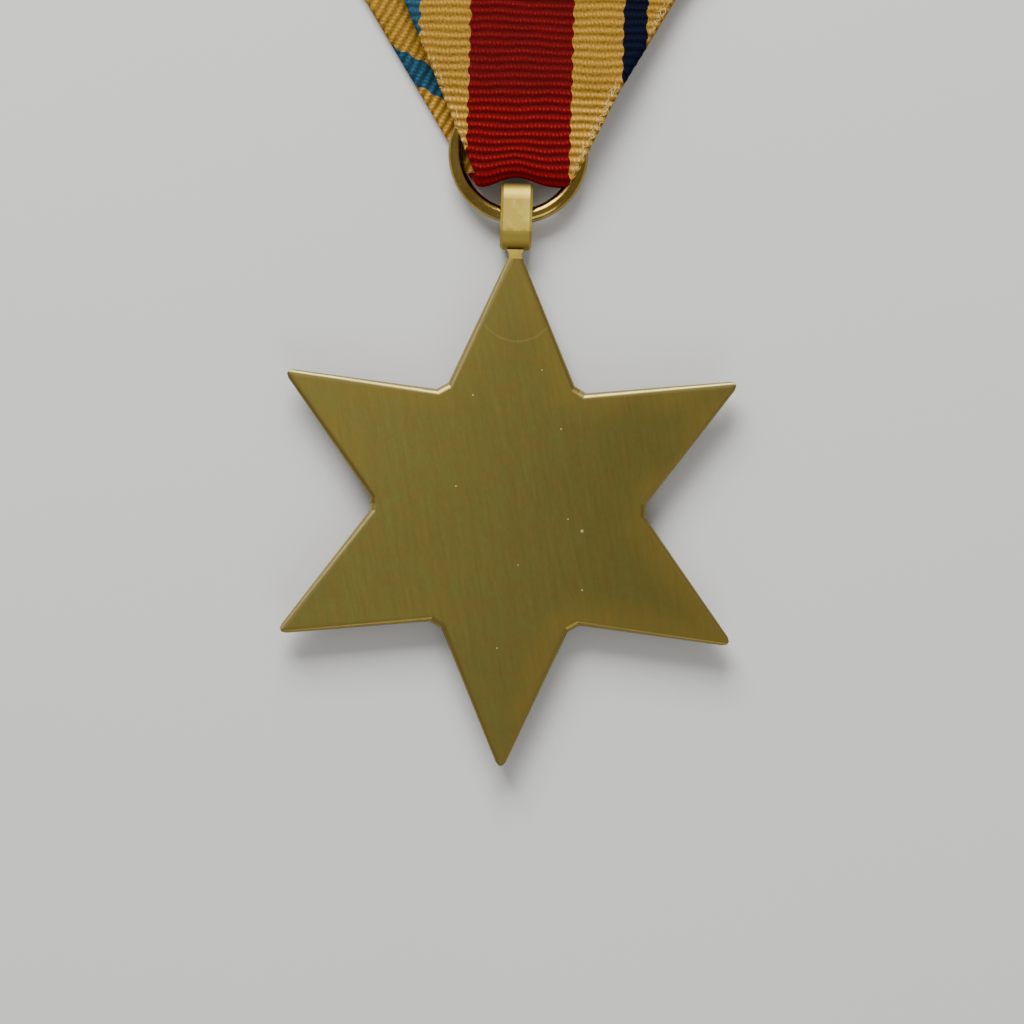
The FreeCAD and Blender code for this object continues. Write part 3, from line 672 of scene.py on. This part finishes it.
class RibbonPath:
    """Side view of the ribbon's middle surface, from its sewn tail, over the rod, down the front,
    round the turn inside the ring and up the back. Distances are in millimetres from the turn."""

    # Centre (y, z) of the turn inside the ring, with its reach along the ribbon and its rise.
    TURN = (29.0, 1.65)
    TURN_REACH = 1.47
    TURN_RISE = 1.28

    # Points (y, z) along the runs after the turn.
    BACK_RUN = (
        (31.5, 3.02),
        (34.4, 3.13),
        (36.0, 3.14),
        (38.0, 2.86),
        (42.0, 2.28),
        (46.0, 1.84),
        (50.0, 1.80),
        (65.2, 1.80),
    )
    FRONT_RUN = ((31.5, 0.19), (40.0, 0.17), (60.0, 0.17), (66.9, 0.17))
    TAIL = ((66.4, 2.23), (62.0, 2.21), (57.5, 2.19))
    ROD = (66.9, 1.2)
    WRAP_RADIUS = 1.03

    def __init__(self):
        back = self.smoothed([*self.turn(90), *self.BACK_RUN])
        front = self.smoothed([*self.turn(-90), *self.FRONT_RUN])
        wrap = [
            (self.ROD[0] + self.WRAP_RADIUS * math.cos(a), self.ROD[1] + self.WRAP_RADIUS * math.sin(a))
            for a in np.radians(np.arange(-84, 91, 6))
        ]
        front = np.vstack([front, wrap, self.dense(self.TAIL)])
        self.back, self.back_length = self.with_distance(back)
        self.front, self.front_length = self.with_distance(front)
        self.flat_start = self.TURN[0] - self.distance_at(self.back, self.TURN[0])

    def turn(self, end):
        """Quarter turn from the lowest point towards the back (90) or the front (-90)."""
        y, z = self.TURN
        steps = np.radians(np.linspace(180, 180 - end, 14))
        return [(y + self.TURN_REACH * math.cos(a), z + self.TURN_RISE * math.sin(a)) for a in steps]

    @staticmethod
    def dense(points, step=0.05):
        """The same line with points at short even steps."""
        points = np.array(points, float)
        runs = np.r_[0, np.cumsum(np.linalg.norm(np.diff(points, axis=0), axis=1))]
        stations = np.arange(0, runs[-1], step)
        return np.c_[np.interp(stations, runs, points[:, 0]), np.interp(stations, runs, points[:, 1])]

    @classmethod
    def smoothed(cls, points, spread=9):
        """The same line with its corners eased, apart from the turn."""
        line = cls.dense(points)
        kernel = np.exp(-0.5 * (np.arange(-2 * spread, 2 * spread + 1) / spread) ** 2)
        kernel /= kernel.sum()
        padded = np.pad(line[:, 1], 2 * spread, mode="edge")
        soft = np.convolve(padded, kernel, mode="valid")
        fade = np.clip((line[:, 0] - 28.6) / 1.2, 0, 1)
        return np.c_[line[:, 0], line[:, 1] * (1 - fade) + soft * fade]

    @staticmethod
    def with_distance(line):
        """The line with each point's distance from its start, and its length."""
        steps = np.linalg.norm(np.diff(line, axis=0), axis=1)
        distance = np.r_[0, np.cumsum(steps)]
        return np.c_[distance, line], float(distance[-1])

    @staticmethod
    def distance_at(table, y):
        """How far along the line it first reaches y."""
        index = int(np.argmax(table[:, 1] >= y))
        return float(table[index, 0])

    def at(self, s):
        """Point (y, z) and outward normal at distance s; the back is positive, the front negative."""
        table = self.back if s >= 0 else self.front
        far = abs(s)
        y, z = (np.interp(far, table[:, 0], table[:, k]) for k in (1, 2))
        y1, z1 = (np.interp(far + 0.1, table[:, 0], table[:, k]) for k in (1, 2))
        y0, z0 = (np.interp(max(far - 0.1, 0), table[:, 0], table[:, k]) for k in (1, 2))
        if far < 0.1:
            return y, z, -1.0, 0.0
        dy, dz = y1 - y0, z1 - z0
        size = math.hypot(dy, dz)
        sign = 1 if s >= 0 else -1
        return y, z, -dz / size * sign, dy / size * sign


class Pleat:
    """One side of a run, turned inwards over a nearly straight fold. The fold starts a little inside
    its line, as its bend stands out; inset gives how far at its foot and along its middle."""

    EDGE_GAP = 0.12
    INSET_SHARES = (0, 0.4, 0.8, 1)

    def __init__(self, fold, radius, flat_start, inset):
        (self.wide, top), (self.narrow, low) = fold
        self.top, self.low = top - flat_start, low - flat_start
        self.side = -1 if self.wide < 0 else 1
        length = math.hypot(self.narrow - self.wide, self.low - self.top)
        self.cosine = (self.top - self.low) / length
        self.sine = abs(self.narrow - self.wide) / length
        self.radius = radius
        self.inset = (inset[0], inset[1], inset[1], self.EDGE_GAP)

    def line(self, q):
        """Place of the fold across the ribbon at distance q from the turn."""
        share = min(max((q - self.low) / (self.top - self.low), 0), 1)
        straight = self.narrow + (self.wide - self.narrow) * share
        return straight - self.side * float(np.interp(share, self.INSET_SHARES, self.inset))

    def folded(self, q):
        return q < self.top

    def columns(self, q, arc_steps, flat_steps):
        """Places across the ribbon from the fold out to its edge."""
        line = self.line(q)
        reach = (HALF_WIDTH - abs(line)) * self.cosine
        bend = min(math.pi * self.radius, reach * 0.7)
        offsets = [bend * k / arc_steps for k in range(arc_steps)]
        offsets += [bend + (reach - bend) * k / flat_steps for k in range(flat_steps + 1)]
        return [line + self.side * offset / self.cosine for offset in offsets]

    def turn_in(self, u, q):
        """Where cloth beyond the fold goes: place across, distance along and depth below the run."""
        beyond = (u - self.line(q)) * self.side * self.cosine
        if beyond <= 0 or not self.folded(q):
            return u, q, 0.0
        foot_u = u - self.side * beyond * self.cosine
        foot_q = q + beyond * self.sine
        bend = math.pi * self.radius
        if beyond < bend:
            inward = -self.radius * math.sin(beyond / self.radius)
            depth = self.radius * (1 - math.cos(beyond / self.radius))
        else:
            inward, depth = beyond - bend, 2 * self.radius
        return foot_u - self.side * inward * self.cosine, foot_q + inward * self.sine, depth


class FoldedRibbon:
    """Takes every point of the flat ribbon to its place in the folded one."""

    ARC_STEPS = 6
    FLAT_STEPS = 10
    RUN_STEPS = 40
    INNER_BEND = 0.16
    OUTER_BEND = 0.31

    # In millimetres: the hump in the turn's middle (rise, width), the dip beside it (depth, place, width).
    HUMP = (0.85, 1.9)
    DIP = (0.16, -2.9, 0.9)
    HUMP_REACH = 5.5
    WAVE = 0.035

    def __init__(self):
        self.path = RibbonPath()
        start = self.path.flat_start
        self.back = (
            Pleat(BACK_LEFT, self.INNER_BEND, start, (0.6, 0.5)),
            Pleat(BACK_RIGHT, self.OUTER_BEND, start, (0.15, 0.8)),
        )
        self.front = (
            Pleat(FRONT_LEFT, self.OUTER_BEND, start, (0.4, 0.4)),
            Pleat(FRONT_RIGHT, self.INNER_BEND, start, (0.35, 0.35)),
        )

    def pleats(self, s):
        """The left and right pleat of the run at distance s."""
        return self.back if s >= 0 else self.front

    def arch(self, u, q):
        """How far the turn's hump and dip lift the cloth towards the brooch."""
        rise, width = self.HUMP
        fall, centre, spread = self.DIP
        lift = rise * math.exp(-((u / width) ** 2)) - fall * math.exp(-(((u - centre) / spread) ** 2))
        return lift * max(0.0, 1 - q / self.HUMP_REACH) ** 1.5

    def row(self, s):
        """Places across the ribbon of one row of points; they follow the two folds."""
        q = abs(s)
        left, right = self.pleats(s)
        outer_left = left.columns(q, self.ARC_STEPS, self.FLAT_STEPS)[:0:-1]
        outer_right = right.columns(q, self.ARC_STEPS, self.FLAT_STEPS)[1:]
        first, last = left.line(q), right.line(q)
        run = [first + (last - first) * k / self.RUN_STEPS for k in range(self.RUN_STEPS + 1)]
        return outer_left + run + outer_right

    def place(self, u, s):
        """The folded point (x, y, z), its plan (u, s) after folding, and whether it is tucked in."""
        sign = 1 if s >= 0 else -1
        left, right = self.pleats(s)
        pleat = left if u < left.line(abs(s)) else right
        new_u, q, depth = pleat.turn_in(u, abs(s))
        y, z, normal_y, normal_z = self.path.at(sign * q)
        wave = self.WAVE * math.sin(new_u * 0.9 + q * 0.55) * min(q / 6, 1) if s >= 0 else 0.0
        point = (
            new_u,
            y - normal_y * depth + self.arch(new_u, q),
            z - normal_z * depth + wave,
        )
        return point, (new_u, sign * q), depth > 0


# The cloth's grid, and how far folding may stretch a face before it is cut away.
ROWS_PER_RIB = 4
STRETCH, SLACK = 2.2, 0.4
TUCK_MARGIN = 0.35


def ribbon_grid(name, columns, rows):
    """A flat grid primitive with one vertex for each column and row."""
    clear_selection()
    bpy.ops.mesh.primitive_grid_add(x_subdivisions=columns - 1, y_subdivisions=rows - 1, size=2)
    piece = bpy.context.object
    piece.name = name
    piece.data.name = name
    return piece


def weave_ribbon():
    """Builds the whole ribbon as one folded cloth; returns it with its flat length and start."""
    style = settings().ribbon
    folded = FoldedRibbon()
    start, end = -folded.path.front_length, folded.path.back_length
    rib = style.rib_pitch / MM
    rows = int((end - start) / (rib / ROWS_PER_RIB)) + 1
    columns = len(folded.row(0.5))
    piece = ribbon_grid("ribbon", columns, rows)
    mesh = piece.data
    flat = np.zeros((len(mesh.vertices), 2))
    plan = np.zeros((len(mesh.vertices), 2))
    tucked = np.zeros(len(mesh.vertices), bool)
    row_cache = {}
    for vertex in mesh.vertices:
        column = round((vertex.co.x + 1) / 2 * (columns - 1))
        level = round((vertex.co.y + 1) / 2 * (rows - 1))
        s = start + (end - start) * level / (rows - 1)
        if level not in row_cache:
            row_cache[level] = folded.row(s)
        u = row_cache[level][column]
        point, where, inside = folded.place(u, s)
        vertex.co = Vector(point) * MM
        flat[vertex.index] = (u, s)
        plan[vertex.index] = where
        tucked[vertex.index] = inside
    paint_weave_uv(mesh, folded, flat, start, end - start)
    drop_hidden_cloth(piece, folded, flat, plan, tucked)
    thicken_ribbon(piece, start, end - start)
    return piece, start, end - start


def paint_weave_uv(mesh, folded, flat, start, length):
    """Stores each point's place on the flat ribbon, and how near it is to a fold and to the turn; the
    nearness places the ribbon's painted highlights.
    """
    weave = mesh.uv_layers[0]
    weave.name = "weave"
    folds = mesh.uv_layers.new(name="folds")
    wear_and_gleam = np.zeros((len(flat), 2))
    for index, (u, s) in enumerate(flat):
        q = abs(s)
        pleats = [pleat for pleat in folded.pleats(s) if pleat.folded(q)]
        gaps = [abs(u - pleat.line(q)) * pleat.cosine for pleat in pleats]
        wear_and_gleam[index] = (min([*gaps, FOLD_REACH]) / FOLD_REACH, min(q / TURN_REACH, 1.0))
    for loop in mesh.loops:
        u, s = flat[loop.vertex_index]
        weave.data[loop.index].uv = ((u + HALF_WIDTH) / (2 * HALF_WIDTH), (s - start) / length)
        folds.data[loop.index].uv = wear_and_gleam[loop.vertex_index]


def is_torn(corners, flat, plan):
    """Whether folding would stretch a face too far."""
    return any(
        np.linalg.norm(plan[a] - plan[b]) > STRETCH * np.linalg.norm(flat[a] - flat[b]) + SLACK
        for a, b in zip(corners, corners[1:] + corners[:1])
    )


def is_past_fold(corner, folded, flat, plan, tucked):
    """Whether a tucked point would stick out past the opposite fold."""
    if not tucked[corner]:
        return False
    u, s = plan[corner]
    left, right = folded.pleats(s)
    if flat[corner][0] < left.line(abs(flat[corner][1])):
        return u > right.line(abs(s)) - TUCK_MARGIN
    return u < left.line(abs(s)) + TUCK_MARGIN


def drop_hidden_cloth(piece, folded, flat, plan, tucked):
    """Cuts away tucked cloth that would stick out past the opposite fold or tear at the turn."""
    mesh = piece.data
    doomed = []
    for polygon in mesh.polygons:
        corners = list(polygon.vertices)
        past = any(is_past_fold(corner, folded, flat, plan, tucked) for corner in corners)
        if past or is_torn(corners, flat, plan):
            doomed.append(polygon.index)
    bpy.context.view_layer.objects.active = piece
    bpy.ops.object.mode_set(mode="EDIT")
    bpy.ops.mesh.select_mode(type="FACE")
    bpy.ops.mesh.select_all(action="DESELECT")
    bpy.ops.object.mode_set(mode="OBJECT")
    for index in doomed:
        mesh.polygons[index].select = True
    bpy.ops.object.mode_set(mode="EDIT")
    bpy.ops.mesh.delete(type="FACE")
    bpy.ops.object.mode_set(mode="OBJECT")


def thicken_ribbon(piece, start, length):
    """Gives the cloth its thickness, then raises the ribs on both faces."""
    style = settings().ribbon
    solid = piece.modifiers.new("cloth", "SOLIDIFY")
    solid.thickness = style.cloth
    solid.offset = 0
    apply_modifiers(piece)
    mesh = piece.data
    along = np.zeros(len(mesh.vertices))
    across = np.zeros(len(mesh.vertices))
    layer = mesh.uv_layers["weave"]
    for loop in mesh.loops:
        u, v = layer.data[loop.index].uv
        across[loop.vertex_index] = u * 2 * HALF_WIDTH - HALF_WIDTH
        along[loop.vertex_index] = v * length + start
    station = along + sum(
        reach * np.sin(across * over + along * up + phase) for reach, over, up, phase in RIPPLES
    )
    rise = (0.5 + 0.5 * np.cos(station * 2 * math.pi / (style.rib_pitch / MM))) ** RIB_SHAPE
    normals = [vertex.normal.copy() for vertex in mesh.vertices]
    for vertex, normal, share in zip(mesh.vertices, normals, rise):
        vertex.co += normal * float(share * style.rib_height)
    clear_selection()
    piece.select_set(True)
    bpy.context.view_layer.objects.active = piece
    bpy.ops.object.shade_smooth_by_angle(angle=math.radians(60))


# ---------------------------------------------------------------- operators


class MEDAL_OT_star(Operator):
    """Gives the star and its brazed collar their brushed brass"""

    bl_idname = "medal.star"
    bl_label = "Finish the star"

    def execute(self, context):
        metal = settings().metal
        dress("star", star_brass("star_brass", metal.star, metal.grain_angle))
        dress("tip_collar", cast_brass("collar_brass", metal.loop, 0.40))
        return {"FINISHED"}


class MEDAL_OT_hanger(Operator):
    """Gives the suspension loop and the ring their finishes"""

    bl_idname = "medal.hanger"
    bl_label = "Finish the loop and ring"

    def execute(self, context):
        metal = settings().metal
        dress("suspension_loop", cast_brass("loop_brass", metal.loop, 0.52, painted_shade=loop_bend_shade))
        dress("suspension_ring", cast_brass("ring_brass", metal.ring, 0.11))
        return {"FINISHED"}


class MEDAL_OT_ribbon(Operator):
    """Weaves and folds the striped ribbon"""

    bl_idname = "medal.ribbon"
    bl_label = "Weave the ribbon"

    # Two places on either side of the ribbon's joint; the script does not use them.
    BEND_START, BEND_END = (0, 0.0486, 0.001), (0, 0.0438, 0.001)

    def execute(self, context):
        piece, start, length = weave_ribbon()
        piece.data.materials.append(ribbon_weave("ribbon_weave", length, start))
        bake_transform(piece)
        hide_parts(*RIBBON_NODES)
        length * MM
        return {"FINISHED"}


class MEDAL_OT_stitches(Operator):
    """Sews the ribbon's tail down with a row of stitches"""

    bl_idname = "medal.stitches"
    bl_label = "Sew the tail"

    COUNT, PITCH, LEVEL = 12, 2.5 * MM, 2.36 * MM
    RADIUS, CORE_LENGTH = 0.125 * MM, 0.7 * MM

    # Steps from a stitch's core down into the cloth: move (x, y, z) and the width that follows it.
    DESCENT = (
        ((0.20 * MM, 0, -0.015 * MM), 0.96),
        ((0.14 * MM, 0, -0.045 * MM), 0.90),
        ((0.08 * MM, 0, -0.10 * MM), 0.82),
        ((0.02 * MM, 0, -0.16 * MM), 0.70),
    )

    def execute(self, context):
        low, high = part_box("tail_stitches")
        middle = (low[1] + high[1]) / 2
        stitch = thread_core(self.RADIUS, self.CORE_LENGTH, 12)
        for side in (-1, 1):
            grow_end(stitch, side, self.DESCENT)
        bpy.ops.object.mode_set(mode="OBJECT")
        places = []
        for index in range(self.COUNT):
            across = (index - (self.COUNT - 1) / 2) * self.PITCH
            along = middle + 0.04 * MM * math.sin(index * 1.7)
            places.append(((across, along, self.LEVEL), (0, 0, 0.10 * math.sin(index * 2.4)), 1.0))
        row = join_copies(stitch, places, "stitch_row")
        row.data.materials.append(sewing_thread("sewing_thread", settings().ribbon.thread))
        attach(row, "upper_ribbon")
        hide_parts("tail_stitches")
        return {"FINISHED"}


class MEDAL_OT_loose_fibres(Operator):
    """Frays the two lower folds of the ribbon's back with short loose fibres"""

    bl_idname = "medal.loose_fibres"
    bl_label = "Fray the folds"

    COUNT, SEED = 120, 11
    RIGHT_SHARE = 0.8
    RADIUS, CORE_LENGTH = 0.020 * MM, 0.14 * MM
    ENDS = (((0.10 * MM, 0.02 * MM, -0.01 * MM), 0.9), ((0.09 * MM, 0.04 * MM, -0.04 * MM), 0.5))

    # In millimetres: the frayed length of a fold, the clear gap beside a stripe, and the ribs' height.
    FRAYED = (0.8, 16.0)
    STRIPE_GAP = 0.3
    LIFT = 0.14

    def execute(self, context):
        fibre = thread_core(self.RADIUS, self.CORE_LENGTH, 5)
        for side in (-1, 1):
            grow_end(fibre, side, self.ENDS)
        bpy.ops.object.mode_set(mode="OBJECT")
        folded = FoldedRibbon()
        chance = np.random.default_rng(self.SEED)
        gap = self.STRIPE_GAP
        places = []
        while len(places) < self.COUNT:
            pleat = folded.back[int(chance.random() < self.RIGHT_SHARE)]
            q = pleat.low + self.FRAYED[0] + chance.random() * self.FRAYED[1]
            u = pleat.line(q) + pleat.side * (0.25 - chance.random() ** 2 * 0.6)
            spin = chance.normal(0, 0.6)
            size = 0.6 + chance.random() * 0.6
            if any(left - gap < u < right + gap for _, left, right, _ in STRIPES):
                continue
            (x, y, z), _, _ = folded.place(u, q)
            lean = math.atan2(pleat.cosine, pleat.side * pleat.sine) + spin
            places.append(((x * MM, y * MM, (z + self.LIFT) * MM), (0, 0, lean), size))
        fray = join_copies(fibre, places, "loose_fibres")
        fray.data.materials.append(sewing_thread("silk_fibre", (0.84, 0.62, 0.24)))
        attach(fray, "lower_ribbon")
        return {"FINISHED"}


class MEDAL_OT_brooch(Operator):
    """Gives the brooch bar, its rod, its pin and the pin's fittings their finishes"""

    bl_idname = "medal.brooch"
    bl_label = "Finish the brooch"

    def execute(self, context):
        metal = settings().metal
        dress("brooch_bar", brushed_brass("bar_brass", metal.brooch, math.radians(90)))
        dress("ribbon_rod", cast_brass("rod_brass", metal.brooch, 0.28))
        fittings = cast_brass("fitting_brass", metal.brooch, 0.30)
        for node in ("pin_hinge_block", "hinge_rivet", "pin_catch"):
            dress(node, fittings)
        dress("brooch_pin", drawn_steel("pin_steel", metal.steel))
        return {"FINISHED"}


LIGHTS_AIM = Vector((0, 0.01, 0))


def area_light(name, place, size, power):
    """A soft light that looks at the middle of the medal."""
    light = bpy.data.lights.new(name, "AREA")
    light.shape = "RECTANGLE"
    light.size, light.size_y = size
    light.energy = power
    lamp = bpy.data.objects.new(name, light)
    lamp.location = place
    lamp.rotation_euler = (LIGHTS_AIM - Vector(place)).to_track_quat("-Z", "Y").to_euler()
    bpy.context.collection.objects.link(lamp)


class MEDAL_OT_stage(Operator):
    """Lays the floor and sets the lights and the camera"""

    bl_idname = "medal.stage"
    bl_label = "Set the stage"

    SENSOR, LENS = 36, 100
    CAMERA_OVER, BACK_LEVEL = (0.00035, -0.00039), 0.003
    SKY_COLOUR, SKY_STRENGTH = (1.0, 0.985, 0.96, 1), 0.42

    def execute(self, context):
        stage = settings().stage
        clear_selection()
        bpy.ops.mesh.primitive_plane_add(size=4, location=(0, 0.02, 0))
        floor = bpy.context.object
        floor.name = "floor"
        bpy.ops.object.transform_apply(location=True, rotation=True, scale=True)
        floor.data.materials.append(plain_floor("floor_paper", stage.floor))
        area_light("key", (-0.10, 0.42, 0.34), (0.36, 0.30), stage.key_power)
        area_light("fill", (0.16, -0.44, 0.36), (0.40, 0.30), stage.fill_power)
        world = bpy.data.worlds.new("studio")
        world.use_nodes = True
        backdrop = world.node_tree.nodes["Background"]
        backdrop.inputs["Color"].default_value = self.SKY_COLOUR
        backdrop.inputs["Strength"].default_value = self.SKY_STRENGTH
        context.scene.world = world
        lens = bpy.data.cameras.new("camera")
        lens.sensor_width = self.SENSOR
        lens.lens = self.LENS
        lens.clip_start = 0.01
        height = stage.view_width * lens.lens / lens.sensor_width
        camera = bpy.data.objects.new("camera", lens)
        camera.location = (*self.CAMERA_OVER, self.BACK_LEVEL + height)
        camera.rotation_euler = (0, 0, stage.lean)
        context.collection.objects.link(camera)
        context.scene.camera = camera
        return {"FINISHED"}


class MEDAL_PT_panel(Panel):
    """Lists the medal's steps and settings"""

    bl_label = "Service Star Medal"
    bl_idname = "MEDAL_PT_panel"
    bl_space_type = "VIEW_3D"
    bl_region_type = "UI"
    bl_category = "Medal"

    def draw(self, context):
        for operator in OPERATORS:
            self.layout.operator(operator.bl_idname)
        medal = context.scene.medal
        for group in (medal.ribbon, medal.metal, medal.stage):
            box = self.layout.box()
            for name in group.bl_rna.properties.keys():
                if name not in {"rna_type", "name"}:
                    box.prop(group, name)


OPERATORS = (
    MEDAL_OT_star,
    MEDAL_OT_hanger,
    MEDAL_OT_ribbon,
    MEDAL_OT_stitches,
    MEDAL_OT_loose_fibres,
    MEDAL_OT_brooch,
    MEDAL_OT_stage,
)
GROUPS = (RibbonSettings, MetalSettings, StageSettings, MedalSettings)


def register():
    for item in GROUPS + OPERATORS + (MEDAL_PT_panel,):
        bpy.utils.register_class(item)
    bpy.types.Scene.medal = PointerProperty(type=MedalSettings)


def unregister():
    del bpy.types.Scene.medal
    for item in reversed(GROUPS + OPERATORS + (MEDAL_PT_panel,)):
        bpy.utils.unregister_class(item)


def main():
    register()
    bpy.ops.medal.star()
    bpy.ops.medal.hanger()
    bpy.ops.medal.ribbon()
    bpy.ops.medal.stitches()
    bpy.ops.medal.loose_fibres()
    bpy.ops.medal.brooch()
    bpy.ops.medal.stage()


if __name__ == "__main__":
    main()
